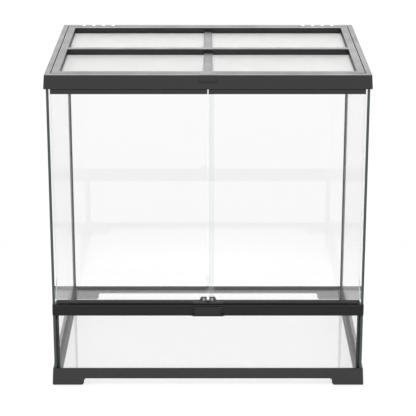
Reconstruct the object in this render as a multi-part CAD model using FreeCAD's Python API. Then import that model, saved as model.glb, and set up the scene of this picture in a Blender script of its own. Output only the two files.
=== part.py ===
"""Glass animal cage: a glued glass box in a moulded base and top frame, with two hinged front doors,
a sill rail with a flip-up latch, a lift-off screen lid and two sliding cable gates in the rear rim.

Millimetres. X runs to the right as seen from the front, Y to the back, Z up. The pieces are drawn about
the centre of the base and moved back by `centring` as they are written, which puts the origin under the
middle of the whole cage, latch included, on the surface that the feet stand on. The script writes
parts/NODE.step.
"""
import FreeCAD
import Part
import math
import os

from FreeCAD import Vector

CUT = 1.0                # how far a cutting shape runs past what it cuts

# ---------------------------------------------------------------- overall sizes
WIDTH = 600.0            # over the base and the top frame, at their widest
DEPTH = 450.0
HEIGHT = 612.0

# ---------------------------------------------------------------- glass and its joints
PANE = 5.0               # fixed panes
DOOR_PANE = 4.0
PANE_FIT = 0.3           # between a fixed pane and the moulding that holds it
REAR_JOINT = 2.0         # silicone joint at each rear corner
FRONT_JOINT = 3.0        # silicone joint at each end of the lower front pane
FLOOR_JOINT = 0.5        # between the floor pane and the standing panes
BEAD = 3.0               # leg of the silicone fillet round the floor
REAR_BEAD = 1.0          # leg of the fillets in the rear corners
FRONT_BEAD = 3.0         # and in the lower front corners

# ---------------------------------------------------------------- base frame
DRAFT = 1.7              # how far a moulded wall leans in from its widest edge to its narrowest
FRAME_WALL = 2.5         # outer wall of both frames, at its thinnest
CORNER = 3.0             # radius of the frames' upright corners
RIM_ROUND = 1.2          # on the frames' narrow outer edges
WIDE_ROUND = 0.8         # and on their wide ones
BASE_HEIGHT = 34.0
LEDGE_TOP = 24.5         # the panes stand on this ledge
LEDGE = 2.5              # thickness of the ledges in both frames
LEDGE_REACH = 15.3       # from the wall to the free edge of the ledge
FOOT_HEIGHT = 13.4
FOOT_LENGTH = 61.0
TOE_RADIUS = 6.5
ARCH_RADIUS = 5.0

# ---------------------------------------------------------------- sill rail under the doors
SILL_BOTTOM = 143.3
SILL_HEIGHT = 21.9
SILL_DEPTH = 19.0
SILL_WALL = 2.5
SILL_CHAMFER = 2.5
SILL_ROUND = 1.2         # along the lower front edge
CAP_ROUND = 1.5          # down the outer front edge of each end cap
SILL_CAP_LENGTH = 26.9
SILL_GRIP = 6.0          # how far the lower front pane reaches up into the sill
SEAM_WIDTH = 2.0         # groove between the sill and its end caps
SEAM_HEIGHT = 12.0
SEAM_DEPTH = 1.2
SPIGOT_LENGTH = 7.0      # of an end cap inside the sill
SPIGOT_FIT = 0.2
CAP_SPREAD = 0.1         # the end caps reach this far past the inside of the frames' walls
STOP_HEIGHT = 3.8        # rib behind the doors
STOP_WALL = 1.6
STOP_GAP = 0.7

# ---------------------------------------------------------------- top frame
BAND_HEIGHT = 26.0
SIDE_RIM = 10.0          # width of the rim's top face at the sides
END_RIM = 15.6           # and at the front and back
RIM_PLATE = 2.5
RECESS_ROUND = 0.6       # on the recess's top edges
LID_LEDGE_REACH = 7.5
PANE_HEADROOM = 6.0      # from the top edge of the fixed panes to the top of the rim

# ---------------------------------------------------------------- lid
LID_GAP = 1.0            # round the lid
LID_REST_GAP = 0.3       # under the lid
LID_HEIGHT = 13.0
LID_SIDE_BAR = 15.0
LID_END_BAR = 16.0
CROSS_BAR = 16.0
CENTRE_BAR = 16.0
CENTRE_BAR_DROP = 6.6    # its top lies this far under the lid's top face
LID_ROUND = 1.0          # on the bars' top edges
MESH_SHEET = 0.6
MESH_INSET = 1.0         # the mesh ends this far inside the lid's edge
CLAMP_FRAME = 1.2
CLAMP_SETBACK = 1.5      # the clamp frame's bars are this much narrower on each open side
TAB_WIDTH = 31.0
TAB_PLATE = 2.2
TAB_DROP = 13.5          # the tab's leg hangs this far down the front face
TAB_FIT = 0.4
TAB_ROUND = 3.0
TAB_RIDGE = 0.6          # finger ridge on the tab: how far it stands out
TAB_RIDGE_WIDTH = 22.0
TAB_RIDGE_HEIGHT = 1.4
TAB_RIDGE_LIFT = 1.2     # above the tab's lower end
TAB_BOSS = 4.0           # solid rim on each side of the tab

# ---------------------------------------------------------------- doors
MEETING_GAP = 2.0
DOOR_SIDE_GAP = 2.5
DOOR_SILL_GAP = 1.3
DOOR_HEAD_GAP = 1.4
UPPER_RAIL_HEIGHT = 8.8
LOWER_RAIL_HEIGHT = 5.2
DOOR_RAIL_DEPTH = 9.0
DOOR_RAIL_WEB = 2.6      # between the glass and the outside of its rail
DOOR_RAIL_ROUND = 0.6
DOOR_PANE_FIT = 0.1
DOOR_PANE_INSET = 0.6    # the glass stops this far short of the rails' ends
HINGE_INSET = 8.0        # from the door's outer edge to its hinge axis
PIN_RADIUS = 2.0
PIN_REACH = 5.5          # into the sill cap and the top frame
PIN_GRIP = 2.4           # into the door rail
PIN_PLAY = 0.08
SOCKET_DEPTH = 6.5
WASHER_RADIUS = 4.0
WASHER = 1.0
HINGE_BOSS = 12.0
HINGE_BOSS_GAP = 0.5     # beside the channel of the side pane

# ---------------------------------------------------------------- door catches and edge seal
CATCH_BASE = 27.8
CATCH_EDGE = 0.2         # from the door's free edge
CATCH_LIFT = 0.4         # above the door rail's underside
CATCH_LAP = 2.0          # how far the grip reaches down behind the plate
CATCH_PLATE = 1.5
CATCH_INNER = 2.5        # from the middle plane of the cage
CATCH_WIDTH = 14.5
CATCH_SLOPE = 4.0
CATCH_RISE = 8.2        # of the grip above the door rail
CATCH_THICK = 4.4        # of the grip, in front of the glass
CATCH_ROUND = 0.5
SCREW_RADIUS = 1.1
SCREW_HEAD_RADIUS = 2.7
SCREW_HEAD_HEIGHT = 1.1
SCREW_RISE = 4.4         # of the screw's axis above the door rail
SCREW_BITE = 3.2         # of the shank into the catch
SCREW_TIP_GAP = 0.2
SEAL_WIDTH = 10.0
SEAL_LIP = 0.6
SEAL_EDGE = 1.0          # its web, past the edge of the glass
SEAL_FIT = 0.05
SEAL_END_GAP = 0.5

# ---------------------------------------------------------------- latch
FLAP_WIDTH = 49.0
FLAP_THICK = 3.0
FLAP_PIN_DROP = 4.2      # from the top of the sill to the flap's hinge axis
FLAP_BACK_GAP = 0.2      # between the flap and the sill
FLAP_FIT = 0.3           # beside the flap
FLAP_FOOT_GAP = 0.4      # the flap's free edge ends this far above the underside of the sill
LIP_HALF = 31.0          # half the width of the finger lip along the flap's free edge
LIP_HEIGHT = 2.7
LIP_PROUD = 0.8
LIP_BEVEL = 1.5
FLAP_ROUND = 0.5
FLAP_PIN_RADIUS = 0.9
FLAP_PIN_SPARE = 2.6     # the pin's length in each cheek
CHEEK_WIDTH = 3.6        # the two lugs on the sill that hold the flap's pin
CHEEK_HEIGHT = 5.4
CHEEK_BEVEL = 1.2

# ---------------------------------------------------------------- cable gates
SLOT_WIDTH = 7.0
SLOT_PITCH = 20.0
SLOTS = 4
SLOT_ROW = 226.5         # middle of a row of slots, from the middle plane
SLOT_REACH = 12.5        # in from the rim's rear edge
GATE = 2.0
GATE_TRAVEL = 10.0
GATE_SPINE = 1.6
GATE_PLAY = 0.25
GATE_MARGIN = 6.0
GATE_WALL = 1.5
NUB_WIDTH = 8.0
NUB_REACH = 4.0
NUB_PLAY = 0.5
GATE_TAIL = 1.0          # of the gate beyond its nub
GATE_END_GAP = 1.0       # left in the cavity at each end of the gate's travel

# ---------------------------------------------------------------- places worked out from the sizes
half_width = WIDTH / 2
half_depth = DEPTH / 2
pocket_x = half_width - DRAFT - FRAME_WALL      # inside faces of the frames' walls
pocket_y = half_depth - DRAFT - FRAME_WALL
glass_x = pocket_x - PANE_FIT                   # outer faces of the glass box
glass_y = pocket_y - PANE_FIT
inner_x = glass_x - PANE                        # inner faces of the glass box
inner_y = glass_y - PANE
pane_top = HEIGHT - PANE_HEADROOM
floor_top = LEDGE_TOP + PANE

sill_top = SILL_BOTTOM + SILL_HEIGHT
sill_back = -half_depth + SILL_DEPTH
sill_pane_top = SILL_BOTTOM + SILL_GRIP
cap_outer = pocket_x + CAP_SPREAD
cap_inner = cap_outer - SILL_CAP_LENGTH

band_bottom = HEIGHT - BAND_HEIGHT
rim_x = half_width - DRAFT - SIDE_RIM           # walls of the recess that holds the lid
rim_y = half_depth - DRAFT - END_RIM
lid_x = rim_x - LID_GAP
lid_y = rim_y - LID_GAP
lid_bottom = HEIGHT - LID_HEIGHT
rest_top = lid_bottom - LID_REST_GAP
rest_bottom = rest_top - LEDGE
mesh_bottom = lid_bottom + CLAMP_FRAME
mesh_top = mesh_bottom + MESH_SHEET

door_inner = MEETING_GAP / 2
door_outer = inner_x - DOOR_SIDE_GAP
door_bottom = sill_top + DOOR_SILL_GAP
door_top = band_bottom - DOOR_HEAD_GAP
lower_rail_top = door_bottom + LOWER_RAIL_HEIGHT
upper_rail_bottom = door_top - UPPER_RAIL_HEIGHT
door_front = -glass_y
door_middle = door_front + DOOR_RAIL_DEPTH / 2
door_back = door_front + DOOR_RAIL_DEPTH
hinge_x = door_outer - HINGE_INSET
pane_front = door_middle - DOOR_PANE / 2
pane_back = door_middle + DOOR_PANE / 2
grip_front = pane_front - CATCH_THICK

flap_back = -half_depth - FLAP_BACK_GAP
flap_front = flap_back - FLAP_THICK
flap_pin_y = (flap_back + flap_front) / 2
flap_pin_z = sill_top - FLAP_PIN_DROP
centring = (-half_depth - (flap_front - LIP_PROUD)) / 2     # puts the origin under the middle of the whole

gate_top = HEIGHT - RIM_PLATE - GATE_PLAY
gate_bottom = gate_top - GATE
gate_cavity_bottom = pane_top + PANE_FIT
slot_front = half_depth - DRAFT - SLOT_REACH
gate_front = slot_front - GATE_SPINE
gate_back = pocket_y - GATE_PLAY
row_half = SLOT_PITCH * (SLOTS - 1) / 2 + SLOT_WIDTH / 2
gate_outer = SLOT_ROW + row_half + GATE_MARGIN - SLOT_WIDTH / 2
nub_outer = SLOT_ROW - row_half - GATE_MARGIN
nub_inner = nub_outer - NUB_WIDTH
gate_inner = nub_inner - GATE_TAIL


# ---------------------------------------------------------------- small helpers
def near(a, b):
    """Whether two places are the same, within a hundredth of a millimetre."""
    return abs(a - b) < 0.01


def block(x0, x1, y0, y1, z0, z1):
    """A box between two corners."""
    return Part.makeBox(x1 - x0, y1 - y0, z1 - z0, Vector(x0, y0, z0))


def centred(half_x, half_y, z0, z1):
    """A box centred on the origin in plan."""
    return block(-half_x, half_x, -half_y, half_y, z0, z1)


def mirrored(shape):
    """The same shape on the other side of the middle plane."""
    return shape.mirror(Vector(0, 0, 0), Vector(1, 0, 0))


def pair(shape):
    """A shape and its mirror image, as one compound of separate solids."""
    return Part.makeCompound([shape, mirrored(shape)])


def joined(first, *others):
    """Several shapes fused into one clean solid."""
    shape = first
    for other in others:
        shape = shape.fuse(other)
    return shape.removeSplitter()


def straight_edges(shape, keep):
    """The straight edges whose two ends both pass the test keep(point)."""
    return [e for e in shape.Edges if len(e.Vertexes) == 2 and isinstance(e.Curve, Part.Line)
            and all(keep(v.Point) for v in e.Vertexes)]


def rectangle(half_x, half_y, z):
    """A closed rectangular wire centred on the origin."""
    corners = [Vector(x, y, z) for x, y in ((-half_x, -half_y), (half_x, -half_y),
                                            (half_x, half_y), (-half_x, half_y))]
    return Part.makePolygon(corners + corners[:1])


def drafted(z0, z1):
    """The outside of a moulded frame: widest at z0, leaning in to z1, with all its outer edges rounded."""
    low = rectangle(half_width, half_depth, z0)
    high = rectangle(half_width - DRAFT, half_depth - DRAFT, z1)
    body = Part.makeLoft([low, high], True, True)
    upright = [e for e in body.Edges if abs(e.Vertexes[0].Z - e.Vertexes[-1].Z) > (z1 - z0) / 2]
    body = body.makeFillet(CORNER, upright)
    for z, radius in ((z0, WIDE_ROUND), (z1, RIM_ROUND)):
        body = body.makeFillet(radius, [e for e in body.Edges if all(near(v.Z, z) for v in e.Vertexes)])
    return body


def upright_cylinder(x, y, z0, z1, radius):
    return Part.makeCylinder(radius, z1 - z0, Vector(x, y, z0))


def cylinder_along_x(x0, x1, y, z, radius):
    return Part.makeCylinder(radius, x1 - x0, Vector(x0, y, z), Vector(1, 0, 0))


def cylinder_along_y(y0, y1, x, z, radius):
    return Part.makeCylinder(radius, y1 - y0, Vector(x, y0, z), Vector(0, 1, 0))


def prism_along_y(points, y0, y1):
    """A prism from an outline of (x, z) points."""
    corners = [Vector(x, y0, z) for x, z in points]
    face = Part.Face(Part.makePolygon(corners + corners[:1]))
    return face.extrude(Vector(0, y1 - y0, 0))


def prism_along_x(points, x0, x1):
    """A prism from an outline of (y, z) points."""
    corners = [Vector(x0, y, z) for y, z in points]
    face = Part.Face(Part.makePolygon(corners + corners[:1]))
    return face.extrude(Vector(x1 - x0, 0, 0))


def prism_along_z(points, z0, z1):
    """A prism from an outline of (x, y) points."""
    corners = [Vector(x, y, z0) for x, y in points]
    face = Part.Face(Part.makePolygon(corners + corners[:1]))
    return face.extrude(Vector(0, 0, z1 - z0))


# ---------------------------------------------------------------- base frame
def arch(half_length, reach):
    """The space between two feet, seen from the side: a low arch that flares at the toes."""
    def point(x, z):
        return Vector(x, -reach, z)

    def quarter(x, z, radius, start):
        middle, end = start + math.pi / 4, start + math.pi / 2
        places = [point(x + radius * math.cos(a), z + radius * math.sin(a)) for a in (start, middle, end)]
        return Part.Arc(*places).toShape()

    toe = half_length + TOE_RADIUS
    shoulder = half_length - ARCH_RADIUS
    crown = FOOT_HEIGHT - ARCH_RADIUS
    outline = [
        quarter(toe, TOE_RADIUS, TOE_RADIUS, math.pi),
        Part.makeLine(point(half_length, TOE_RADIUS), point(half_length, crown)),
        quarter(shoulder, crown, ARCH_RADIUS, 0.0),
        Part.makeLine(point(shoulder, FOOT_HEIGHT), point(-shoulder, FOOT_HEIGHT)),
        quarter(-shoulder, crown, ARCH_RADIUS, math.pi / 2),
        Part.makeLine(point(-half_length, crown), point(-half_length, TOE_RADIUS)),
        quarter(-toe, TOE_RADIUS, TOE_RADIUS, -math.pi / 2),
        Part.makeLine(point(-toe, 0), point(-toe, -CUT)),
        Part.makeLine(point(-toe, -CUT), point(toe, -CUT)),
        Part.makeLine(point(toe, -CUT), point(toe, 0)),
    ]
    face = Part.Face(Part.Wire(Part.__sortEdges__(outline)))
    return face.extrude(Vector(0, 2 * reach, 0))


def base_frame():
    """A wall that runs down into four feet, with a ledge inside it for the panes to stand on."""
    frame = drafted(0.0, BASE_HEIGHT)
    frame = frame.cut(centred(pocket_x - LEDGE_REACH, pocket_y - LEDGE_REACH, -CUT, BASE_HEIGHT + CUT))
    frame = frame.cut(centred(pocket_x, pocket_y, LEDGE_TOP, BASE_HEIGHT + CUT))
    frame = frame.cut(centred(pocket_x, pocket_y, -CUT, LEDGE_TOP - LEDGE))
    frame = frame.cut(arch(half_width - FOOT_LENGTH, half_depth + CUT))
    side_arch = arch(half_depth - FOOT_LENGTH, half_width + CUT)
    side_arch.rotate(Vector(0, 0, 0), Vector(0, 0, 1), 90.0)
    return frame.cut(side_arch)


# ---------------------------------------------------------------- glass
def side_pane():
    return block(inner_x, glass_x, -glass_y, glass_y, LEDGE_TOP, pane_top)


def back_pane():
    half = inner_x - REAR_JOINT
    return block(-half, half, inner_y, glass_y, LEDGE_TOP, pane_top)


def lower_front_pane():
    half = inner_x - FRONT_JOINT
    return block(-half, half, -glass_y, -inner_y, LEDGE_TOP, sill_pane_top)


def floor_pane():
    return centred(inner_x - FLOOR_JOINT, inner_y - FLOOR_JOINT, LEDGE_TOP, floor_top)


# ---------------------------------------------------------------- silicone
def floor_seal():
    """A triangular fillet all round the floor."""
    outer = centred(inner_x, inner_y, floor_top, floor_top + BEAD)
    low = rectangle(inner_x - BEAD, inner_y - BEAD, floor_top)
    high = rectangle(inner_x, inner_y, floor_top + BEAD)
    return outer.cut(Part.makeLoft([low, high], True, True))


def rear_corner_seals():
    """The joint between the back pane and a side pane, with a fillet inside the corner."""
    x = inner_x - REAR_JOINT
    outline = [(inner_x, glass_y), (x, glass_y), (x, inner_y), (x - REAR_BEAD, inner_y),
               (inner_x, inner_y - REAR_BEAD)]
    return pair(prism_along_z(outline, floor_top + BEAD, rest_bottom))


def front_corner_seals():
    """The joint between the lower front pane and a side pane, with a fillet inside the corner."""
    x = inner_x - FRONT_JOINT
    outline = [(inner_x, -glass_y), (x, -glass_y), (x, -inner_y), (x - FRONT_BEAD, -inner_y),
               (inner_x, -inner_y + FRONT_BEAD)]
    return pair(prism_along_z(outline, floor_top + BEAD, SILL_BOTTOM))


# ---------------------------------------------------------------- sill
def sill_bar(x0, x1):
    """A length of the sill's outside, chamfered along its upper front edge and rounded along the lower."""
    front = -half_depth
    section = [(front, SILL_BOTTOM), (sill_back, SILL_BOTTOM), (sill_back, sill_top),
               (front + SILL_CHAMFER, sill_top), (front, sill_top - SILL_CHAMFER)]
    bar = prism_along_x(section, x0, x1)
    lower = straight_edges(bar, lambda p: near(p.y, front) and near(p.z, SILL_BOTTOM))
    return bar.makeFillet(SILL_ROUND, lower)


def pane_slot(half_x):
    """Room for the top of the lower front pane."""
    return block(-half_x, half_x, -glass_y - PANE_FIT, -inner_y + PANE_FIT,
                 SILL_BOTTOM - CUT, sill_pane_top + PANE_FIT)


def seam():
    """A groove cut across the front where an end cap meets the sill."""
    middle = (SILL_BOTTOM + sill_top) / 2
    return block(cap_inner - SEAM_WIDTH / 2, cap_inner + SEAM_WIDTH / 2, -half_depth - CUT,
                 -half_depth + SEAM_DEPTH, middle - SEAM_HEIGHT / 2, middle + SEAM_HEIGHT / 2)


def sill_rail():
    rail = sill_bar(-cap_inner, cap_inner)
    rail = rail.cut(block(-cap_inner - CUT, cap_inner + CUT, -half_depth + SILL_WALL, sill_back - SILL_WALL,
                          SILL_BOTTOM + SILL_WALL, sill_top - SILL_WALL))
    rail = rail.cut(pane_slot(cap_inner + CUT))
    stop_half = hinge_x - HINGE_BOSS
    stop_front = door_back + STOP_GAP
    rib = block(-stop_half, stop_half, stop_front, stop_front + STOP_WALL, sill_top, sill_top + STOP_HEIGHT)
    rail = joined(rail, rib)
    lug = flap_lug()
    rail = joined(rail, lug, mirrored(lug)).cut(flap_pin())
    return rail.cut(seam()).cut(mirrored(seam()))


def sill_cap():
    """Closes the sill's right end, covers the side pane's front edge and holds the lower hinge pin."""
    cap = sill_bar(cap_inner, cap_outer)
    corner = straight_edges(cap, lambda p: near(p.x, cap_outer) and near(p.y, -half_depth))
    cap = cap.makeFillet(CAP_ROUND, corner)
    beside_pane = inner_x - PANE_FIT
    cap = cap.cut(block(beside_pane, cap_outer + CUT, -glass_y - PANE_FIT, 0.0, 0.0, HEIGHT))
    cap = cap.cut(pane_slot(beside_pane))
    spigot = block(cap_inner - SPIGOT_LENGTH, cap_inner, -inner_y + PANE_FIT + SPIGOT_FIT,
                   sill_back - SILL_WALL - SPIGOT_FIT, SILL_BOTTOM + SILL_WALL + SPIGOT_FIT,
                   sill_top - SILL_WALL - SPIGOT_FIT)
    cap = joined(cap, spigot)
    cap = cap.cut(upright_cylinder(hinge_x, door_middle, sill_top - SOCKET_DEPTH, sill_top + CUT,
                                   PIN_RADIUS + PIN_PLAY))
    return cap.cut(seam())


# ---------------------------------------------------------------- top frame
def slot_spans():
    """The two sides, in x, of each slot in the right row."""
    middles = [SLOT_ROW + SLOT_PITCH * (i - (SLOTS - 1) / 2) for i in range(SLOTS)]
    return [(x - SLOT_WIDTH / 2, x + SLOT_WIDTH / 2) for x in middles]


def cable_slots():
    """One row of slots in the right half of the rear rim, with the way down behind the glass."""
    cuts = []
    for x0, x1 in slot_spans():
        cuts.append(block(x0, x1, slot_front, half_depth + CUT, gate_cavity_bottom, HEIGHT + CUT))
        cuts.append(block(x0, x1, gate_front, inner_y - PANE_FIT, rest_bottom - CUT, gate_cavity_bottom))
    return cuts


def gate_room():
    """The cavity that a cable gate slides in, with the window for its nub."""
    cavity = block(gate_inner - GATE_TRAVEL - GATE_END_GAP, gate_outer + GATE_END_GAP, gate_front - GATE_PLAY,
                   pocket_y, gate_cavity_bottom, HEIGHT - RIM_PLATE)
    window = block(nub_inner - GATE_TRAVEL - NUB_PLAY, nub_outer + NUB_PLAY, pocket_y - CUT, half_depth + CUT,
                   gate_cavity_bottom, HEIGHT - RIM_PLATE)
    return [cavity, window]


def hinge_socket():
    """A boss in the right half of the front member, bored for the upper hinge pin."""
    boss = block(hinge_x - HINGE_BOSS / 2, inner_x - PANE_FIT - HINGE_BOSS_GAP, -pocket_y, -rim_y,
                 band_bottom, rest_bottom)
    return boss, upright_cylinder(hinge_x, door_middle, band_bottom - CUT, band_bottom + SOCKET_DEPTH,
                                  PIN_RADIUS + PIN_PLAY)


def tab_outline(fit):
    """The room that the lid's tab takes up over the front rim: its plate, then its leg."""
    half = TAB_WIDTH / 2 + fit
    front = -half_depth - CUT
    plate = block(-half, half, front, -rim_y + CUT, HEIGHT - TAB_PLATE - fit, HEIGHT + CUT)
    leg_back = -half_depth + DRAFT + TAB_PLATE + fit
    leg = block(-half, half, front, leg_back, HEIGHT - TAB_DROP - fit, HEIGHT + CUT)
    return plate, leg


def top_frame():
    """The moulding round the top of the glass, with the recess that the lid drops into."""
    frame = drafted(band_bottom, HEIGHT)
    # The lid's recess, its ledge, and the open space below the ledge.
    frame = frame.cut(centred(rim_x, rim_y, rest_top, HEIGHT + CUT))
    mouth = straight_edges(frame, lambda p: near(p.z, HEIGHT) and near(abs(p.x), rim_x)
                           and near(abs(p.y), rim_y))
    frame = frame.makeFillet(RECESS_ROUND, mouth)
    frame = frame.cut(centred(rim_x - LID_LEDGE_REACH, rim_y - LID_LEDGE_REACH, 0.0, HEIGHT + CUT))
    frame = frame.cut(block(-pocket_x, pocket_x, -rim_y, pocket_y, band_bottom - CUT, rest_bottom))
    # Channels for the standing panes.
    channel_bottom, channel_top = band_bottom - CUT, pane_top + PANE_FIT
    side = block(inner_x - PANE_FIT, pocket_x, -pocket_y, pocket_y, channel_bottom, channel_top)
    back = block(-pocket_x, pocket_x, inner_y - PANE_FIT, pocket_y, channel_bottom, channel_top)
    for channel in (side, mirrored(side), back):
        frame = frame.cut(channel)
    # The hollow in the front member, open to the inside of the cage below the ledge.
    web_top = band_bottom + FRAME_WALL
    x0, x1 = TAB_WIDTH / 2 + TAB_BOSS, hinge_x - HINGE_BOSS / 2
    hollow = joined(block(x0, x1, -pocket_y, -rim_y - FRAME_WALL, web_top, HEIGHT - RIM_PLATE),
                    block(x0, x1, -pocket_y, -rim_y + CUT, web_top, rest_bottom))
    frame = frame.cut(hollow).cut(mirrored(hollow))
    # The bosses for the upper hinge pins, and the rib that the doors close against.
    boss, socket = hinge_socket()
    frame = joined(frame, boss, mirrored(boss)).cut(socket).cut(mirrored(socket))
    stop_half = hinge_x - HINGE_BOSS
    stop_front = door_back + STOP_GAP
    frame = joined(frame, block(-stop_half, stop_half, stop_front, stop_front + STOP_WALL,
                                band_bottom - STOP_HEIGHT, band_bottom))
    # Room for the lid's tab and for the cable gates.
    for cut in tab_outline(TAB_FIT):
        frame = frame.cut(cut)
    for cut in [*cable_slots(), *gate_room()]:
        frame = frame.cut(cut).cut(mirrored(cut))
    return frame


def cable_gate():
    """A comb that closes the right row of slots when it slides towards the middle."""
    gate = block(gate_inner, gate_outer, gate_front, gate_back, gate_bottom, gate_top)
    for x0, x1 in slot_spans():
        gate = gate.cut(block(x0, x1, slot_front, half_depth, gate_bottom - CUT, gate_top + CUT))
    nub = block(nub_inner, nub_outer, gate_back - GATE_WALL, pocket_y + NUB_REACH, gate_bottom, gate_top)
    return joined(gate, nub)


# ---------------------------------------------------------------- lid
def lid_windows(setback, z0, z1):
    """The four openings between the lid's bars."""
    openings = []
    for sx in (1, -1):
        for sy in (1, -1):
            xs = sorted((sx * (CENTRE_BAR / 2 - setback), sx * (lid_x - LID_SIDE_BAR + setback)))
            ys = sorted((sy * (CROSS_BAR / 2 - setback), sy * (lid_y - LID_END_BAR + setback)))
            openings.append(block(xs[0], xs[1], ys[0], ys[1], z0, z1))
    return openings


def lid_frame():
    """The lid's moulding. The bar that runs front to back is lower than the others."""
    frame = centred(lid_x, lid_y, mesh_top, HEIGHT)
    across, along = lid_x - LID_SIDE_BAR, lid_y - LID_END_BAR
    for y0, y1 in ((CROSS_BAR / 2, along), (-along, -CROSS_BAR / 2)):
        frame = frame.cut(block(-across, across, y0, y1, mesh_top - CUT, HEIGHT + CUT))
    frame = frame.makeFillet(LID_ROUND, straight_edges(frame, lambda p: near(p.z, HEIGHT)))
    bar_top = HEIGHT - CENTRE_BAR_DROP
    bar = block(-CENTRE_BAR / 2, CENTRE_BAR / 2, -along - CUT, along + CUT, mesh_top, bar_top)
    long_edges = [e for e in straight_edges(bar, lambda p: near(p.z, bar_top)) if e.Length > 2 * CENTRE_BAR]
    frame = joined(frame, bar.makeFillet(LID_ROUND, long_edges))
    half = TAB_WIDTH / 2
    return frame.cut(block(-half, half, -lid_y - CUT, -lid_y + LID_END_BAR / 2,
                           HEIGHT - TAB_PLATE, HEIGHT + CUT))


def screen_mesh():
    return centred(lid_x - MESH_INSET, lid_y - MESH_INSET, mesh_bottom, mesh_top)


def mesh_clamp():
    """A thin frame under the mesh that holds its edges and its middle to the lid."""
    frame = centred(lid_x, lid_y, lid_bottom, mesh_bottom)
    for opening in lid_windows(CLAMP_SETBACK, lid_bottom - CUT, mesh_bottom + CUT):
        frame = frame.cut(opening)
    return frame


def lid_tab():
    """The finger tab that bridges the front rim and hangs over the front face."""
    half = TAB_WIDTH / 2
    front = -half_depth + DRAFT
    plate = block(-half, half, front, -lid_y + LID_END_BAR / 2, HEIGHT - TAB_PLATE, HEIGHT)
    leg = block(-half, half, front, front + TAB_PLATE, HEIGHT - TAB_DROP, HEIGHT)
    low = HEIGHT - TAB_DROP + TAB_RIDGE_LIFT
    ridge = block(-TAB_RIDGE_WIDTH / 2, TAB_RIDGE_WIDTH / 2, front - TAB_RIDGE, front + TAB_PLATE / 2,
                  low, low + TAB_RIDGE_HEIGHT)
    tab = joined(plate, leg)
    top_edge = straight_edges(tab, lambda p: near(p.y, front) and near(p.z, HEIGHT))
    return joined(tab.makeFillet(TAB_ROUND, top_edge), ridge)


# ---------------------------------------------------------------- right door, mirrored for the left
def door_rail(z0, z1, slot_z0, slot_z1):
    """A channel from z0 to z1. The door's glass stands in its slot, which ends short of the hinge side."""
    rail = block(door_inner, door_outer, door_front, door_back, z0, z1)
    along = [e for e in rail.Edges if not near(e.Vertexes[0].X, e.Vertexes[-1].X)]
    rail = rail.makeFillet(DOOR_RAIL_ROUND, along)
    return rail.cut(block(door_inner - CUT, door_outer - DOOR_PANE_INSET + DOOR_PANE_FIT,
                          pane_front - DOOR_PANE_FIT, pane_back + DOOR_PANE_FIT, slot_z0, slot_z1))


def lower_door_rail():
    rail = door_rail(door_bottom, lower_rail_top, door_bottom + DOOR_RAIL_WEB, lower_rail_top + CUT)
    return rail.cut(upright_cylinder(hinge_x, door_middle, door_bottom - CUT, door_bottom + PIN_GRIP,
                                     PIN_RADIUS))


def upper_door_rail():
    rail = door_rail(upper_rail_bottom, door_top, upper_rail_bottom - CUT, door_top - DOOR_RAIL_WEB)
    return rail.cut(upright_cylinder(hinge_x, door_middle, door_top - PIN_GRIP, door_top + CUT, PIN_RADIUS))


def door_pane():
    spare = DOOR_PANE_FIT
    return block(door_inner + DOOR_PANE_INSET, door_outer - DOOR_PANE_INSET, pane_front, pane_back,
                 door_bottom + DOOR_RAIL_WEB + spare, door_top - DOOR_RAIL_WEB - spare)


def hinge_pins():
    lower = upright_cylinder(hinge_x, door_middle, sill_top - PIN_REACH, door_bottom + PIN_GRIP, PIN_RADIUS)
    upper = upright_cylinder(hinge_x, door_middle, door_top - PIN_GRIP, band_bottom + PIN_REACH, PIN_RADIUS)
    return Part.makeCompound([lower, upper])


def hinge_washers():
    rings = []
    for middle in ((sill_top + door_bottom) / 2, (door_top + band_bottom) / 2):
        ring = upright_cylinder(hinge_x, door_middle, middle - WASHER / 2, middle + WASHER / 2, WASHER_RADIUS)
        rings.append(ring.cut(upright_cylinder(hinge_x, door_middle, middle - WASHER, middle + WASHER,
                                               PIN_RADIUS + PIN_PLAY)))
    return Part.makeCompound(rings)


def screw_hole(y0, y1, radius):
    """A cylinder on the axis of the catch's screw."""
    x = CATCH_INNER + (CATCH_WIDTH - CATCH_SLOPE) / 2
    return cylinder_along_y(y0, y1, x, lower_rail_top + SCREW_RISE, radius)


def door_catch():
    """A pull at the door's lower free corner: a plate on the rail and a stepped grip on the glass."""
    top = lower_rail_top
    inner, outer = door_inner + CATCH_EDGE, CATCH_INNER + CATCH_WIDTH
    plate_front = door_front - CATCH_PLATE
    plate = block(inner, inner + CATCH_BASE, plate_front, door_front, door_bottom + CATCH_LIFT, top)
    plate = plate.makeFillet(CATCH_ROUND, straight_edges(plate, lambda p: near(p.y, plate_front)))
    grip = prism_along_y([(CATCH_INNER, top), (outer, top), (outer - CATCH_SLOPE, top + CATCH_RISE),
                          (CATCH_INNER, top + CATCH_RISE)], grip_front, pane_front)
    grip = grip.makeFillet(CATCH_ROUND, straight_edges(grip, lambda p: near(p.y, grip_front)))
    link = block(CATCH_INNER, outer, grip_front, door_front, top - CATCH_LAP, top)
    return joined(plate, grip, link).cut(
        screw_hole(grip_front - CUT, grip_front + SCREW_BITE + SCREW_TIP_GAP, SCREW_RADIUS))


def catch_screw():
    return joined(screw_hole(grip_front - SCREW_HEAD_HEIGHT, grip_front, SCREW_HEAD_RADIUS),
                  screw_hole(grip_front, grip_front + SCREW_BITE, SCREW_RADIUS))


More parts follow.
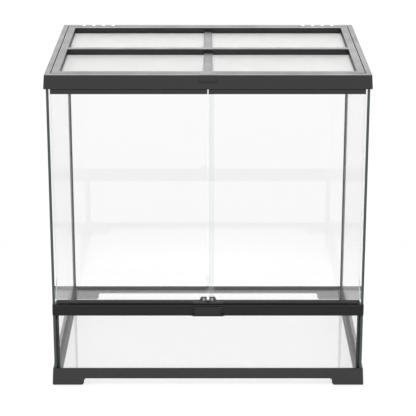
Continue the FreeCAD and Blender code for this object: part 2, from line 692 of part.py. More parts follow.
def edge_seal():
    """A clear channel over the right door's free edge."""
    edge = door_inner + DOOR_PANE_INSET
    low = lower_rail_top + CATCH_RISE + SEAL_END_GAP
    high = upper_rail_bottom - SEAL_END_GAP
    lip = SEAL_LIP + SEAL_FIT
    outer = block(edge - SEAL_EDGE, edge + SEAL_WIDTH, pane_front - lip, pane_back + lip, low, high)
    return outer.cut(block(edge - SEAL_FIT, edge + SEAL_WIDTH + CUT, pane_front - SEAL_FIT,
                           pane_back + SEAL_FIT, low - CUT, high + CUT))


# ---------------------------------------------------------------- latch
def flap_lug():
    """One of the two lugs on the sill's front face that hold the ends of the flap's pin."""
    gap = FLAP_WIDTH / 2 + FLAP_FIT
    top = sill_top - SILL_CHAMFER
    low = top - CHEEK_HEIGHT
    back = -half_depth + SILL_WALL / 2
    outline = [(back, low), (flap_front + CHEEK_BEVEL, low), (flap_front, low + CHEEK_BEVEL),
               (flap_front, top - CHEEK_BEVEL), (flap_front + CHEEK_BEVEL, top), (back, top)]
    return prism_along_x(outline, gap, gap + CHEEK_WIDTH)


def flap_pin():
    reach = FLAP_WIDTH / 2 + FLAP_FIT + FLAP_PIN_SPARE
    return cylinder_along_x(-reach, reach, flap_pin_y, flap_pin_z, FLAP_PIN_RADIUS)


def latch_flap():
    """Hangs down over the sill at rest. Flipped up it stands in front of both doors and keeps them shut."""
    half = FLAP_WIDTH / 2
    foot = SILL_BOTTOM + FLAP_FOOT_GAP
    barrel = cylinder_along_x(-half, half, flap_pin_y, flap_pin_z, FLAP_THICK / 2)
    blade = block(-half, half, flap_front, flap_back, foot, flap_pin_z)
    narrow = LIP_HALF - LIP_BEVEL
    lip_top = foot + LIP_HEIGHT
    lip_front = flap_front - LIP_PROUD
    lip = prism_along_y([(-narrow, foot), (narrow, foot), (LIP_HALF, foot + LIP_BEVEL), (LIP_HALF, lip_top),
                         (-LIP_HALF, lip_top), (-LIP_HALF, foot + LIP_BEVEL)], lip_front, flap_back)
    lip = lip.makeFillet(FLAP_ROUND, straight_edges(lip, lambda p: near(p.y, lip_front)))
    flap = joined(barrel, blade, lip)
    return flap.cut(cylinder_along_x(-half - CUT, half + CUT, flap_pin_y, flap_pin_z,
                                     FLAP_PIN_RADIUS + PIN_PLAY))


# ---------------------------------------------------------------- the whole cage
def nodes():
    """Every node of the cage by name."""
    made = {
        "base_frame": base_frame(),
        "floor_pane": floor_pane(),
        "right_side_pane": side_pane(),
        "left_side_pane": mirrored(side_pane()),
        "back_pane": back_pane(),
        "lower_front_pane": lower_front_pane(),
        "floor_seal": floor_seal(),
        "rear_corner_seals": rear_corner_seals(),
        "front_corner_seals": front_corner_seals(),
        "sill_rail": sill_rail(),
        "right_sill_cap": sill_cap(),
        "left_sill_cap": mirrored(sill_cap()),
        "top_frame": top_frame(),
        "right_cable_gate": cable_gate(),
        "left_cable_gate": mirrored(cable_gate()),
        "lid_frame": lid_frame(),
        "screen_mesh": screen_mesh(),
        "mesh_clamp": mesh_clamp(),
        "lid_tab": lid_tab(),
        "right_door_edge_seal": edge_seal(),
        "latch_flap": latch_flap(),
        "latch_pin": flap_pin(),
    }
    door = {
        "door_pane": door_pane(),
        "upper_door_rail": upper_door_rail(),
        "lower_door_rail": lower_door_rail(),
        "hinge_pins": hinge_pins(),
        "hinge_washers": hinge_washers(),
        "door_catch": door_catch(),
        "catch_screw": catch_screw(),
    }
    for name, shape in door.items():
        made["right_" + name] = shape
        made["left_" + name] = mirrored(shape)
    return made


def main():
    os.makedirs("parts", exist_ok=True)
    for name, shape in sorted(nodes().items()):
        if not shape.isValid() or not shape.Solids:
            raise SystemExit(f"{name} is not a valid solid")
        shape.translate(Vector(0, centring, 0))
        shape.exportStep(f"parts/{name}.step")
        print(f"{name}: {len(shape.Solids)} solid(s), {shape.Volume / 1000:.2f} cm3")


main()
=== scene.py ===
# %% [markdown]
# # A glass cage with two front doors and a screen lid
# This notebook dresses a finished mechanical model. The model already holds every size and every joint, so
# nothing here is moved or stretched. What is added is what the eye goes by: how each surface was made, the
# ground edges of the glass, the wires of the screen and the light of a studio.

# %% Load the frame and remember its size
import math
import random

import bmesh
import bpy
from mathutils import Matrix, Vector


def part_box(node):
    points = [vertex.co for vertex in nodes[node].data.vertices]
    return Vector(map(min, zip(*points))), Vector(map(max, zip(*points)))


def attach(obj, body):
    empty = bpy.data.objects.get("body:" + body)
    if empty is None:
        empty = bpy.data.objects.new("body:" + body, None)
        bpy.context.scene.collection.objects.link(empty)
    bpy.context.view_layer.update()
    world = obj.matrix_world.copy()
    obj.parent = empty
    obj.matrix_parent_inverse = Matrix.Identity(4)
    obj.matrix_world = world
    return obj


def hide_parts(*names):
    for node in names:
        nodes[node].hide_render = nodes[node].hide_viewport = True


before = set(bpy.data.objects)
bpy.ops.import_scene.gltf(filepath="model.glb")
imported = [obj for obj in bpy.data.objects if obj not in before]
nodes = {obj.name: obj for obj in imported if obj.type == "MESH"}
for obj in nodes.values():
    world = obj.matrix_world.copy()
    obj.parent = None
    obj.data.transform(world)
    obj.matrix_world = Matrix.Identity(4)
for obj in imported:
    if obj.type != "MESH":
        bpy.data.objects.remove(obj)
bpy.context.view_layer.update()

MM = 0.001


# %% [markdown]
# ## Two small helpers for materials
# A material is a tree of nodes. One function adds a node, sets it up and links it, so that each recipe below
# reads from top to bottom. Colours are written as a painter's hex values. Those are sRGB, and the shaders
# work in linear light, so one function turns them.

# %% Helpers for materials
def linear(hex_colour):
    """A hex sRGB colour as linear (r, g, b, 1)."""
    channels = [int(hex_colour[i:i + 2], 16) / 255 for i in (1, 3, 5)]
    return tuple(c / 12.92 if c <= 0.04045 else ((c + 0.055) / 1.055) ** 2.4 for c in channels) + (1.0,)


def add(tree, kind, inputs=None, **settings):
    """Adds a node. inputs maps a socket's name or number to a value, or to the output that feeds it."""
    node = tree.nodes.new(kind)
    for name, value in settings.items():
        setattr(node, name, value)
    for socket, value in (inputs or {}).items():
        if isinstance(value, bpy.types.NodeSocket):
            tree.links.new(value, node.inputs[socket])
        else:
            node.inputs[socket].default_value = value
    return node


def new_material(name):
    """An empty material, its tree and its object coordinates."""
    material = bpy.data.materials.new(name)
    material.use_nodes = True
    tree = material.node_tree
    tree.nodes.clear()
    place = add(tree, "ShaderNodeTexCoord").outputs["Object"]
    return material, tree, place


def finish_material(tree, shader):
    """Joins the last shader to the material's output."""
    add(tree, "ShaderNodeOutputMaterial", {"Surface": shader.outputs[0]})


def per_metre(millimetres):
    """The texture scale whose pattern repeats about once in this many millimetres."""
    return 1 / (millimetres * MM)


print("helpers ready: black is", linear("#000000")[:3], "and white is", linear("#FFFFFF")[:3])


# %% [markdown]
# ## Moulded plastic
# The two frames, the sill and the lid are injection moulded in a black ABS. The steel of the mould is spark
# eroded, which leaves a fine pebble grain on the part. It scatters the light a little, so the faces look dark
# grey rather than black, while the same grain seen at a low angle still shines like a mirror that is slightly
# out of focus. Long mouldings also cool unevenly, and that gives soft, wide changes in gloss.

# %% Moulded plastics
FLOW_MM = 60               # how wide the slow changes of shade and gloss are
GLOSS_DRIFT = 0.04         # how far the roughness drifts either way


def moulded_plastic(name, dark, light, roughness, grain_mm, grain_depth_mm, specular=0.5):
    """Pebble-grained ABS. dark and light are the ends of its slow change of shade."""
    material, tree, place = new_material(name)
    flow = add(tree, "ShaderNodeTexNoise", {"Vector": place, "Scale": per_metre(FLOW_MM), "Detail": 3.0})
    shade = add(tree, "ShaderNodeMix", {"Factor": flow.outputs["Fac"], 6: linear(dark), 7: linear(light)},
                data_type="RGBA")
    gloss = add(tree, "ShaderNodeMapRange", {"Value": flow.outputs["Fac"], "From Min": 0.3, "From Max": 0.7,
                                             "To Min": roughness - GLOSS_DRIFT,
                                             "To Max": roughness + GLOSS_DRIFT})
    pebbles = add(tree, "ShaderNodeTexVoronoi", {"Vector": place, "Scale": per_metre(grain_mm)})
    pits = add(tree, "ShaderNodeTexNoise", {"Vector": place, "Scale": per_metre(grain_mm / 2), "Detail": 2.0})
    height = add(tree, "ShaderNodeMath", {0: pebbles.outputs["Distance"], 1: pits.outputs["Fac"]},
                 operation="ADD")
    grain = add(tree, "ShaderNodeBump", {"Height": height.outputs[0], "Strength": 0.35,
                                         "Distance": grain_depth_mm * MM})
    shader = add(tree, "ShaderNodeBsdfPrincipled", {
        "Base Color": shade.outputs[2], "Roughness": gloss.outputs[0], "IOR": 1.54,
        "Specular IOR Level": specular, "Normal": grain.outputs["Normal"]})
    finish_material(tree, shader)
    return material


frame_abs = moulded_plastic("moulded black ABS, pebble grain", "#161617", "#1C1C1D", 0.42, 0.7, 0.03)
# The sill and its flap are drawn with a weaker mirror than the frames, as a matted plastic has.
sill_abs = moulded_plastic("moulded black ABS, matted", "#0B0B0C", "#111112", 0.34, 0.9, 0.01, specular=0.28)
flap_abs = moulded_plastic("moulded black ABS, matted, grained", "#19191A", "#1F1F20", 0.38, 0.7, 0.02,
                           specular=0.3)
catch_abs = moulded_plastic("moulded grey ABS, satin", "#2A2A2B", "#343435", 0.36, 0.6, 0.02)
washer_nylon = moulded_plastic("moulded black nylon", "#1A1A1B", "#202021", 0.5, 0.8, 0.02)
print("plastics ready")


# %% [markdown]
# ## Float glass and its ground edges
# Float glass is flat to a few thousandths of a millimetre and has an index of 1.52. Two panes take only a few
# per cent out of white light, with a trace of green from the iron in the sand. In a path tracer a solid pane
# would throw a black shadow, because a shadow ray can't be bent to the lamp, so for shadow rays alone the
# pane is made transparent. The cut edges are ground with a wet belt and are drawn matt and dark grey-green.

# %% Glass and clear plastic
SMEAR = 0.003              # the most that handling adds to the roughness


def see_through(name, tint, ior, roughness, smear_mm, shadow):
    """A clear, faintly tinted material that lets shadow rays through."""
    material, tree, place = new_material(name)
    smear = add(tree, "ShaderNodeTexNoise", {"Vector": place, "Scale": per_metre(smear_mm), "Detail": 4.0})
    haze = add(tree, "ShaderNodeMapRange", {"Value": smear.outputs["Fac"], "From Min": 0.4, "From Max": 0.8,
                                            "To Min": roughness, "To Max": roughness + SMEAR})
    shader = add(tree, "ShaderNodeBsdfPrincipled", {
        "Base Color": linear(tint), "Roughness": haze.outputs[0], "IOR": ior, "Transmission Weight": 1.0})
    clear = add(tree, "ShaderNodeBsdfTransparent", {"Color": linear(shadow)})
    path = add(tree, "ShaderNodeLightPath")
    finish_material(tree, add(tree, "ShaderNodeMixShader", {
        0: path.outputs["Is Shadow Ray"], 1: shader.outputs[0], 2: clear.outputs[0]}))
    return material


def ground_edge(name, dark, light):
    """The matt edge that a wet belt leaves on glass, with fine scratches along the belt's travel."""
    material, tree, place = new_material(name)
    chips = add(tree, "ShaderNodeTexNoise", {"Vector": place, "Scale": per_metre(4), "Detail": 5.0})
    shade = add(tree, "ShaderNodeMix", {"Factor": chips.outputs["Fac"], 6: linear(dark), 7: linear(light)},
                data_type="RGBA")
    scratches = add(tree, "ShaderNodeTexNoise", {"Vector": place, "Scale": per_metre(0.8), "Detail": 2.0})
    relief = add(tree, "ShaderNodeBump", {"Height": scratches.outputs["Fac"], "Strength": 0.4,
                                          "Distance": 0.03 * MM})
    finish_material(tree, add(tree, "ShaderNodeBsdfPrincipled", {
        "Base Color": shade.outputs[2], "Roughness": 0.5, "IOR": 1.52, "Normal": relief.outputs["Normal"]}))
    return material


float_glass = see_through("float glass, clear", "#FBFBFB", 1.52, 0.0, 90, "#FAFAFA")
# The side panes are seen at a low angle and mirror the dimmer room beside the cage. Their deeper tint stands
# in for that: all five fixed panes would be the same glass.
slanting_glass = see_through("float glass, seen at a slant", "#F7F7F7", 1.52, 0.0, 90, "#F8F8F8")
glass_edge = ground_edge("float glass, belt-ground edge", "#2B3330", "#4A5450")
clear_pvc = see_through("extruded clear PVC", "#FBFCFC", 1.53, 0.015, 12, "#F6F8F8")
print("glass ready")


# %% [markdown]
# ## Silicone, steel and wire
# The panes are bonded with black acetoxy silicone, drawn down with a wet finger, so the bead is smooth but
# never quite even. The pins and screws are zinc-plated steel, turned or drawn. The screen is aluminium wire,
# and a metal has no colour of its own apart from the tint of its reflection.

# %% Silicone and metals
def tooled_silicone(name, colour):
    """Cured silicone with the slow ripple that a finger leaves."""
    material, tree, place = new_material(name)
    ripple = add(tree, "ShaderNodeTexNoise", {"Vector": place, "Scale": per_metre(9), "Detail": 2.0})
    sheen = add(tree, "ShaderNodeMapRange", {"Value": ripple.outputs["Fac"], "To Min": 0.25, "To Max": 0.42})
    relief = add(tree, "ShaderNodeBump", {"Height": ripple.outputs["Fac"], "Strength": 0.5,
                                          "Distance": 0.2 * MM})
    finish_material(tree, add(tree, "ShaderNodeBsdfPrincipled", {
        "Base Color": linear(colour), "Roughness": sheen.outputs[0], "IOR": 1.41,
        "Normal": relief.outputs["Normal"]}))
    return material


def drawn_metal(name, colour, roughness, line_mm):
    """Metal with the fine lines that a die or a lathe tool leaves."""
    material, tree, place = new_material(name)
    lines = add(tree, "ShaderNodeTexNoise", {"Vector": place, "Scale": per_metre(line_mm), "Detail": 3.0})
    gloss = add(tree, "ShaderNodeMapRange", {"Value": lines.outputs["Fac"], "To Min": roughness - 0.06,
                                             "To Max": roughness + 0.1})
    finish_material(tree, add(tree, "ShaderNodeBsdfPrincipled", {
        "Base Color": linear(colour), "Metallic": 1.0, "Roughness": gloss.outputs[0]}))
    return material


silicone = tooled_silicone("tooled black silicone", "#0C0C0D")
plated_steel = drawn_metal("zinc-plated steel, turned", "#A9ABAD", 0.34, 0.5)
mesh_wire = drawn_metal("drawn aluminium wire", "#E6E6E5", 0.38, 1.2)
print("metals ready")


# %% [markdown]
# ## Dress the mouldings
# A moulding whose shape is already right keeps its mesh, and only takes its material.

# %% Materials for the pieces that keep their mesh
def dress(material, *names):
    """Gives a material to pieces of the frame."""
    for name in names:
        mesh = nodes[name].data
        mesh.materials.clear()
        mesh.materials.append(material)


dress(frame_abs, "base_frame", "top_frame", "lid_frame", "mesh_clamp", "lid_tab", "left_cable_gate",
      "right_cable_gate", "left_upper_door_rail", "right_upper_door_rail", "left_lower_door_rail",
      "right_lower_door_rail")
dress(sill_abs, "sill_rail", "left_sill_cap", "right_sill_cap")
dress(flap_abs, "latch_flap")
dress(catch_abs, "left_door_catch", "right_door_catch")
dress(washer_nylon, "left_hinge_washers", "right_hinge_washers")
dress(plated_steel, "left_hinge_pins", "right_hinge_pins", "latch_pin")
dress(clear_pvc, "right_door_edge_seal")
print("dressed", sum(1 for o in nodes.values() if o.data.materials), "of", len(nodes), "nodes")


# %% [markdown]
# ## From a bmesh to a piece
# Each new piece is drawn in place in a bmesh, in metres. Once it is a mesh it is hung on the body it rides on
# and takes its materials, and the plain solid it stands for is hidden.

# %% Make a piece
def new_piece(name, bm, materials, body, finish, *stands_for):
    """Turns a bmesh into a finished piece of the cage."""
    mesh = bpy.data.meshes.new(name)
    bm.to_mesh(mesh)
    bm.free()
    for material in materials:
        mesh.materials.append(material)
    piece = bpy.data.objects.new(name, mesh)
    bpy.context.collection.objects.link(piece)
    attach(piece, body)
    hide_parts(*stands_for)
    print(f"{name}: {len(mesh.polygons)} faces")
    return piece


# %% [markdown]
# ## The panes
# A pane is a plain sheet, and what makes it read as glass is its border. Every edge is ground, with a narrow
# arris taken off both corners so that nobody is cut. The broad faces are clear and the edges are matt, apart
# from those at the back, which the silicone wets so that they stay clear. The doors are better finished than
# the rest: their edges are polished, and clear all round.

# %% Glass panes
ARRIS = 0.5 * MM
FLAT = 0.99                # how squarely a face must look along an axis to count as broad or rear


def glass_pane(name, node, body, broad_material, edge_material):
    """A pane the size of its plain solid, with an arris along every edge."""
    low, high = (Vector(corner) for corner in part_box(node))
    size, middle = high - low, (low + high) / 2
    bm = bmesh.new()
    bmesh.ops.create_cube(bm, size=1.0)
    for vert in bm.verts:
        vert.co = Vector(v * s for v, s in zip(vert.co, size)) + middle
    bmesh.ops.bevel(bm, geom=bm.edges[:], offset=ARRIS, segments=1, affect="EDGES")
    thin = min(range(3), key=lambda axis: size[axis])
    for face in bm.faces:
        broad = abs(face.normal[thin]) > FLAT
        wetted = face.normal.y > FLAT
        face.material_index = 0 if broad or wetted else 1
    return new_piece(name, bm, [broad_material, edge_material], body, "clear_glass", node)


for place in ("left_side", "right_side"):
    glass_pane(f"{place}_glass", f"{place}_pane", "cage", slanting_glass, glass_edge)
for place in ("back", "lower_front", "floor"):
    glass_pane(f"{place}_glass", f"{place}_pane", "cage", float_glass, glass_edge)
for side in ("left", "right"):
    glass_pane(f"{side}_door_glass", f"{side}_door_pane", f"{side}_door", float_glass, float_glass)


# %% [markdown]
# ## Silicone beads
# A bead fills the corner between two panes. Its face is hollow, because a finger drew it, and its width
# wanders by a tenth of a millimetre or two. The floor bead is a closed ring. Each corner bead is the same
# face drawn upwards. The wandering comes from a seeded random walk, so it is the same every time.

# %% Silicone beads
BEAD_STEP = 12 * MM
BEAD_WANDER = 0.12 * MM
HOLLOW_POINTS = 6
HOLLOW_DEPTH = 0.28        # how far the finger draws the face in, as a share of the way to the corner
REAR_JOINT = 2 * MM
FRONT_JOINT = 3 * MM


def thickness(node):
    """The smallest side of a plain solid's box."""
    low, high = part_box(node)
    return min(h - l for l, h in zip(low, high))


def hollow(start, end, corner, points, swell):
    """Points from start to end along an arc that is drawn in towards the corner."""
    line = []
    for i in range(points + 1):
        t = i / points
        straight = start.lerp(end, t)
        line.append(straight.lerp(corner, (HOLLOW_DEPTH - swell) * math.sin(math.pi * t)))
    return line


def skin(bm, rings, closed):
    """Joins rings of points with faces. A closed bead ends where it starts."""
    made = [[bm.verts.new(point) for point in ring] for ring in rings]
    count = len(made)
    for i in range(count if closed else count - 1):
        one, two = made[i], made[(i + 1) % count]
        for k in range(len(one)):
            bm.faces.new((one[k], one[(k + 1) % len(one)], two[(k + 1) % len(one)], two[k]))
    if not closed:
        bm.faces.new(list(reversed(made[0])))
        bm.faces.new(made[-1])
    bmesh.ops.recalc_face_normals(bm, faces=bm.faces[:])
    for face in bm.faces:
        face.smooth = len(face.verts) == 4


def floor_bead():
    """The ring of silicone round the floor."""
    low, high = (Vector(corner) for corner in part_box("floor_seal"))
    leg = high.z - low.z
    chance = random.Random(3)
    corners = [Vector((low.x, low.y, 0)), Vector((high.x, low.y, 0)),
               Vector((high.x, high.y, 0)), Vector((low.x, high.y, 0))]
    rings = []
    for i, here in enumerate(corners):
        after = corners[(i + 1) % 4]
        before = corners[i - 1]
        inward = (after - here).normalized() + (before - here).normalized()
        steps = round((after - here).length / BEAD_STEP)
        for k in range(steps):
            inset = inward if k == 0 else Vector((-(after - here).y, (after - here).x, 0)).normalized()
            root = here.lerp(after, k / steps)
            swell = chance.uniform(-1, 1) * BEAD_WANDER / leg
            corner = root + Vector((0, 0, low.z))
            foot = corner + inset * leg
            crown = corner + Vector((0, 0, leg))
            rings.append([corner] + hollow(foot, crown, corner, HOLLOW_POINTS, swell))
    bm = bmesh.new()
    skin(bm, rings, True)
    return new_piece("floor_bead", bm, [silicone], "cage", "black_silicone", "floor_seal")


def corner_beads(name, node, joint, rear):
    """The two upright joints at one end of the cage, each with a hollow fillet on its inner side."""
    low, high = (Vector(corner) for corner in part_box(node))
    pane = thickness("back_pane" if rear else "lower_front_pane")
    toward = -1 if rear else 1
    outside = high.y if rear else low.y
    inside = outside + toward * pane
    leg = abs((low.y if rear else high.y) - inside)
    chance = random.Random(5 if rear else 7)
    bm = bmesh.new()
    for side in (-1, 1):
        glass = (low.x if side < 0 else high.x)
        gap = glass - side * joint
        rings = []
        steps = round((high.z - low.z) / BEAD_STEP)
        for k in range(steps + 1):
            z = low.z + (high.z - low.z) * k / steps
            swell = chance.uniform(-1, 1) * BEAD_WANDER / leg
            corner = Vector((gap, inside, z))
            fillet = hollow(Vector((gap - side * leg, inside, z)), Vector((glass, inside + toward * leg, z)),
                            corner, HOLLOW_POINTS, swell)
            rings.append([Vector((glass, outside, z)), Vector((gap, outside, z)), corner] + fillet)
        skin(bm, rings, False)
    return new_piece(name, bm, [silicone], "cage", "black_silicone", node)


floor_bead()
corner_beads("rear_corner_beads", "rear_corner_seals", REAR_JOINT, True)
corner_beads("front_corner_beads", "front_corner_seals", FRONT_JOINT, False)


# %% [markdown]
# ## The screen
# The screen is two sets of aluminium wire that cross. That is a rule, not a drawing, so Geometry Nodes make
# it: a row of points, one wire on each point, then the same again across it. Realising the instances at the
# end turns them into real faces. The real weave is finer still. Its wires are drawn a little thicker and
# further apart here, with the same share of open area.

# %% The screen by Geometry Nodes
WIRE_PITCH = 1.05 * MM
WIRE_THICK = 0.3 * MM
WIRE_SIDES = 5


def add_input(tree, name, kind):
    """Declares a named input of a node group and returns its identifier."""
    return tree.interface.new_socket(name=name, in_out="INPUT", socket_type=kind).identifier


def wire_cloth_tree():
    """Crossing wires that fill a rectangle, in two layers that touch."""
    tree = bpy.data.node_groups.new("wire_cloth", "GeometryNodeTree")
    tree.interface.new_socket(name="Geometry", in_out="OUTPUT", socket_type="NodeSocketGeometry")
    keys = {name: add_input(tree, name, kind) for name, kind in (
        ("Width", "NodeSocketFloat"), ("Depth", "NodeSocketFloat"), ("Pitch", "NodeSocketFloat"),
        ("Wire", "NodeSocketFloat"), ("Sides", "NodeSocketInt"), ("Material", "NodeSocketMaterial"))}
    given = add(tree, "NodeGroupInput").outputs

    def maths(operation, one, two):
        return add(tree, "ShaderNodeMath", {0: one, 1: two}, operation=operation).outputs[0]

    def vector(x=0.0, y=0.0, z=0.0):
        return add(tree, "ShaderNodeCombineXYZ", {0: x, 1: y, 2: z}).outputs[0]

    radius = maths("DIVIDE", given["Wire"], 2.0)
    section = add(tree, "GeometryNodeCurvePrimitiveCircle", {"Resolution": given["Sides"], "Radius": radius})
    layers = []
    for across, along, lift in (("Width", "Depth", 1.0), ("Depth", "Width", -1.0)):
        half = maths("DIVIDE", given[along], 2.0)
        back = maths("MULTIPLY", half, -1.0)
        start, end = (vector(y=back), vector(y=half)) if across == "Width" else (vector(x=back), vector(x=half))
        line = add(tree, "GeometryNodeCurvePrimitiveLine", {"Start": start, "End": end})
        wire = add(tree, "GeometryNodeCurveToMesh", {
            "Curve": line.outputs[0], "Profile Curve": section.outputs[0], "Fill Caps": True})
        count = maths("ADD", maths("FLOOR", maths("DIVIDE", given[across], given["Pitch"]), 0.0), 1.0)
        first = maths("MULTIPLY", maths("MULTIPLY", maths("SUBTRACT", count, 1.0), given["Pitch"]), -0.5)
        height = maths("MULTIPLY", radius, lift)
        if across == "Width":
            origin, step = vector(x=first, z=height), vector(x=given["Pitch"])
        else:
            origin, step = vector(y=first, z=height), vector(y=given["Pitch"])
        row = add(tree, "GeometryNodeMeshLine", {"Count": count, "Start Location": origin, "Offset": step})
        layers.append(add(tree, "GeometryNodeInstanceOnPoints", {
            "Points": row.outputs[0], "Instance": wire.outputs[0]}).outputs[0])
    both = add(tree, "GeometryNodeJoinGeometry")
    for layer in layers:
        tree.links.new(layer, both.inputs[0])
    solid = add(tree, "GeometryNodeRealizeInstances", {"Geometry": both.outputs[0]})
    painted = add(tree, "GeometryNodeSetMaterial", {"Geometry": solid.outputs[0],
                                                    "Material": given["Material"]})
    add(tree, "NodeGroupOutput", {0: painted.outputs[0]})
    return tree, keys


def grown_mesh(name, tree, keys, values):
    """Runs a node group once and keeps its result as a plain mesh."""
    holder = bpy.data.objects.new(name + "_maker", bpy.data.meshes.new(name + "_maker"))
    bpy.context.collection.objects.link(holder)
    modifier = holder.modifiers.new("make", "NODES")
    modifier.node_group = tree
    for label, value in values.items():
        modifier[keys[label]] = value
    evaluated = holder.evaluated_get(bpy.context.evaluated_depsgraph_get())
    mesh = bpy.data.meshes.new_from_object(evaluated)
    mesh.name = name
    bpy.data.objects.remove(holder)
    return mesh


def screen():
    """The wire cloth, in the place of its plain sheet."""
    low, high = (Vector(corner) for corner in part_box("screen_mesh"))
    tree, keys = wire_cloth_tree()
    mesh = grown_mesh("screen_wires", tree, keys, {
        "Width": high.x - low.x, "Depth": high.y - low.y, "Pitch": WIRE_PITCH, "Wire": WIRE_THICK,
        "Sides": WIRE_SIDES, "Material": mesh_wire})
    bm = bmesh.new()
    bm.from_mesh(mesh)
    bmesh.ops.translate(bm, verts=bm.verts[:], vec=(low + high) / 2)
    return new_piece("screen_wires", bm, [mesh_wire], "lid", "woven_wire", "screen_mesh")


screen()


# %% [markdown]
# ## Catch screws
# Each catch is held by one small pan-head screw with a cross recess. The head is turned as a profile: a flat
# bearing face, a short wall and a low dome. The recess is a cross cut in with a boolean.

# %% Catch screws
HEAD_POINTS = 8
HEAD_HEIGHT = 1.1 * MM
HEAD_DOME = 0.75           # of the head's height
HEAD_SIDES = 32
SHANK_RADIUS = 1.1 * MM
RECESS_REACH = 0.62        # of the head's radius
RECESS_WIDTH = 0.75 * MM
RECESS_DEPTH = 0.7 * MM
WELD = 0.001 * MM


def pan_head_screw(name, node, body):
    """A pan head and its shank, on the axis of the plain screw."""
    low, high = (Vector(corner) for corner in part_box(node))
    middle = (low + high) / 2
    head_radius = (high.x - low.x) / 2
    profile = [(0.0, 0.0)]
    for i in range(1, HEAD_POINTS + 1):
        turn = math.pi / 2 * i / HEAD_POINTS
        profile.append((head_radius * math.sin(turn), HEAD_HEIGHT * HEAD_DOME * (1 - math.cos(turn))))
    profile += [(head_radius, HEAD_HEIGHT), (SHANK_RADIUS, HEAD_HEIGHT), (SHANK_RADIUS, high.y - low.y),
                (0.0, high.y - low.y)]
    bm = bmesh.new()
    verts = [bm.verts.new(Vector((middle.x + r, low.y + y, middle.z))) for r, y in profile]
    edges = [bm.edges.new(pair) for pair in zip(verts, verts[1:])]
    bmesh.ops.spin(bm, geom=verts + edges, cent=(middle.x, 0, middle.z), axis=(0, 1, 0),
                   angle=math.tau, steps=HEAD_SIDES, use_duplicate=False)
    bmesh.ops.remove_doubles(bm, verts=bm.verts[:], dist=WELD)
    bmesh.ops.recalc_face_normals(bm, faces=bm.faces[:])
    turned = bpy.data.meshes.new(name + "_turned")
    bm.to_mesh(turned)
    bm.free()
    blank = bpy.data.objects.new(name + "_blank", turned)
    cross = bmesh.new()
    reach = head_radius * RECESS_REACH
    for x, z in ((reach, RECESS_WIDTH / 2), (RECESS_WIDTH / 2, reach)):
        bar = bmesh.ops.create_cube(cross, size=1.0)["verts"]
        for vert in bar:
            vert.co = Vector((vert.co.x * 2 * x, vert.co.y * 2 * RECESS_DEPTH, vert.co.z * 2 * z))
            vert.co += Vector((middle.x, low.y, middle.z))
    tool_mesh = bpy.data.meshes.new(name + "_cross")
    cross.to_mesh(tool_mesh)
    cross.free()
    tool = bpy.data.objects.new(name + "_cross", tool_mesh)
    for thing in (blank, tool):
        bpy.context.collection.objects.link(thing)
    cut = blank.modifiers.new("cross recess", "BOOLEAN")
    cut.object = tool
    cut.operation = "DIFFERENCE"
    cut.solver = "EXACT"
    cut.use_self = True
    done = bpy.data.meshes.new_from_object(blank.evaluated_get(bpy.context.evaluated_depsgraph_get()))
    bpy.data.objects.remove(blank)
    bpy.data.objects.remove(tool)
    bm = bmesh.new()
    bm.from_mesh(done)
    return new_piece(name, bm, [plated_steel], body, "steel", node)


for side in ("left", "right"):
    pan_head_screw(f"{side}_pan_head_screw", f"{side}_catch_screw", f"{side}_door")


# %% [markdown]
# ## The studio
# The cage stands on a lit table: a board of opal acrylic with light coming up through it, in front of a white
# world. The glow is strongest under the cage, which keeps the shadows pale. Black plastic shows nothing but
# what it mirrors, so the lamps are built for the reflections: one broad light low behind the cage, which the
# tops of the frames mirror towards the camera, and one overhead that draws the soft shadow between the feet.

# %% Floor, world and lights
FLOOR_SIZE = 14.0
WORLD_STRENGTH = 1.0
GLOW_FAR = 0.44
GLOW_NEAR = 0.66
GLOW_START = 0.3           # metres from the middle, where the glow starts to fade
GLOW_END = 0.75
BEHIND = {"elevation": 22, "spread": 40, "strength": 0.75}
OVERHEAD = {"elevation": 92, "spread": 45, "strength": 0.35}


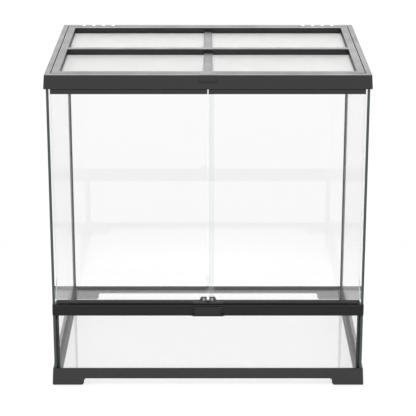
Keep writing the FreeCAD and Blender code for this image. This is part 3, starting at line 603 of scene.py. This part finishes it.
def pale_floor():
    """A wide board of opal acrylic, lit from below, with a faint mottle in its shade."""
    material, tree, place = new_material("opal acrylic board, lit from below")
    mottle = add(tree, "ShaderNodeTexNoise", {"Vector": place, "Scale": per_metre(400), "Detail": 3.0})
    shade = add(tree, "ShaderNodeMix", {"Factor": mottle.outputs["Fac"], 6: linear("#B3B3B3"),
                                        7: linear("#B5B5B5")}, data_type="RGBA")
    reach = add(tree, "ShaderNodeVectorMath", {0: place}, operation="LENGTH")
    glow = add(tree, "ShaderNodeMapRange", {"Value": reach.outputs["Value"], "From Min": GLOW_START,
                                            "From Max": GLOW_END, "To Min": GLOW_NEAR, "To Max": GLOW_FAR})
    finish_material(tree, add(tree, "ShaderNodeBsdfPrincipled", {
        "Base Color": shade.outputs[2], "Roughness": 0.8, "Specular IOR Level": 0.2,
        "Emission Color": linear("#FFFFFF"), "Emission Strength": glow.outputs[0]}))
    half = FLOOR_SIZE / 2
    mesh = bpy.data.meshes.new("pale_floor")
    corners = [(-half, -half, 0), (half, -half, 0), (half, half, 0), (-half, half, 0)]
    mesh.from_pydata(corners, [], [(0, 1, 2, 3)])
    mesh.materials.append(material)
    floor = bpy.data.objects.new("pale_floor", mesh)
    bpy.context.collection.objects.link(floor)


def broad_light(name, elevation, spread, strength, refracted):
    """A broad light from behind the cage. The elevation and the spread are angles in degrees.

    Shadow rays already carry a light's share straight through the panes. Where the refracted share would
    count the same light twice, refracted is False.
    """
    lamp = bpy.data.lights.new(name, "SUN")
    lamp.angle, lamp.energy = math.radians(spread), strength
    holder = bpy.data.objects.new(name, lamp)
    rise = math.radians(elevation)
    towards_lamp = Vector((0, math.cos(rise), math.sin(rise)))
    holder.rotation_euler = (-towards_lamp).to_track_quat("-Z", "Y").to_euler()
    holder.visible_transmission = refracted
    bpy.context.collection.objects.link(holder)


pale_floor()
world = bpy.data.worlds.new("white studio")
world.use_nodes = True
world.node_tree.nodes["Background"].inputs["Color"].default_value = linear("#FFFFFF")
world.node_tree.nodes["Background"].inputs["Strength"].default_value = WORLD_STRENGTH
bpy.context.scene.world = world
broad_light("overhead", refracted=True, **OVERHEAD)
broad_light("low behind", refracted=False, **BEHIND)
bpy.context.scene.view_settings.view_transform = "Standard"


# %% [markdown]
# ## The camera
# The camera stands straight in front, a little over twice as high as the cage, and looks down on it through
# a long lens. That keeps the front nearly square while the lid and the floor still open up. A view camera
# would also shift its lens until the uprights were parallel. Here the lens stays centred, because the same
# camera goes round the cage for the other views, and a shift that large would push the cage out of them.

# %% Camera
CAMERA_AHEAD = 2.88
CAMERA_HEIGHT = 1.305
CAMERA_TILT = math.radians(18.18)
CAMERA_LENS = 141.0


def set_camera():
    """A long lens in front of the middle of the cage, tilted down."""
    data = bpy.data.cameras.new("camera")
    data.lens = CAMERA_LENS
    data.sensor_width = 36.0
    camera = bpy.data.objects.new("camera", data)
    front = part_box("base_frame")[0][1]
    camera.location = (0.0, front - CAMERA_AHEAD, CAMERA_HEIGHT)
    camera.rotation_euler = (math.pi / 2 - CAMERA_TILT, 0, 0)
    bpy.context.collection.objects.link(camera)
    bpy.context.scene.camera = camera


set_camera()
print("camera at", [round(v, 3) for v in bpy.context.scene.camera.location])
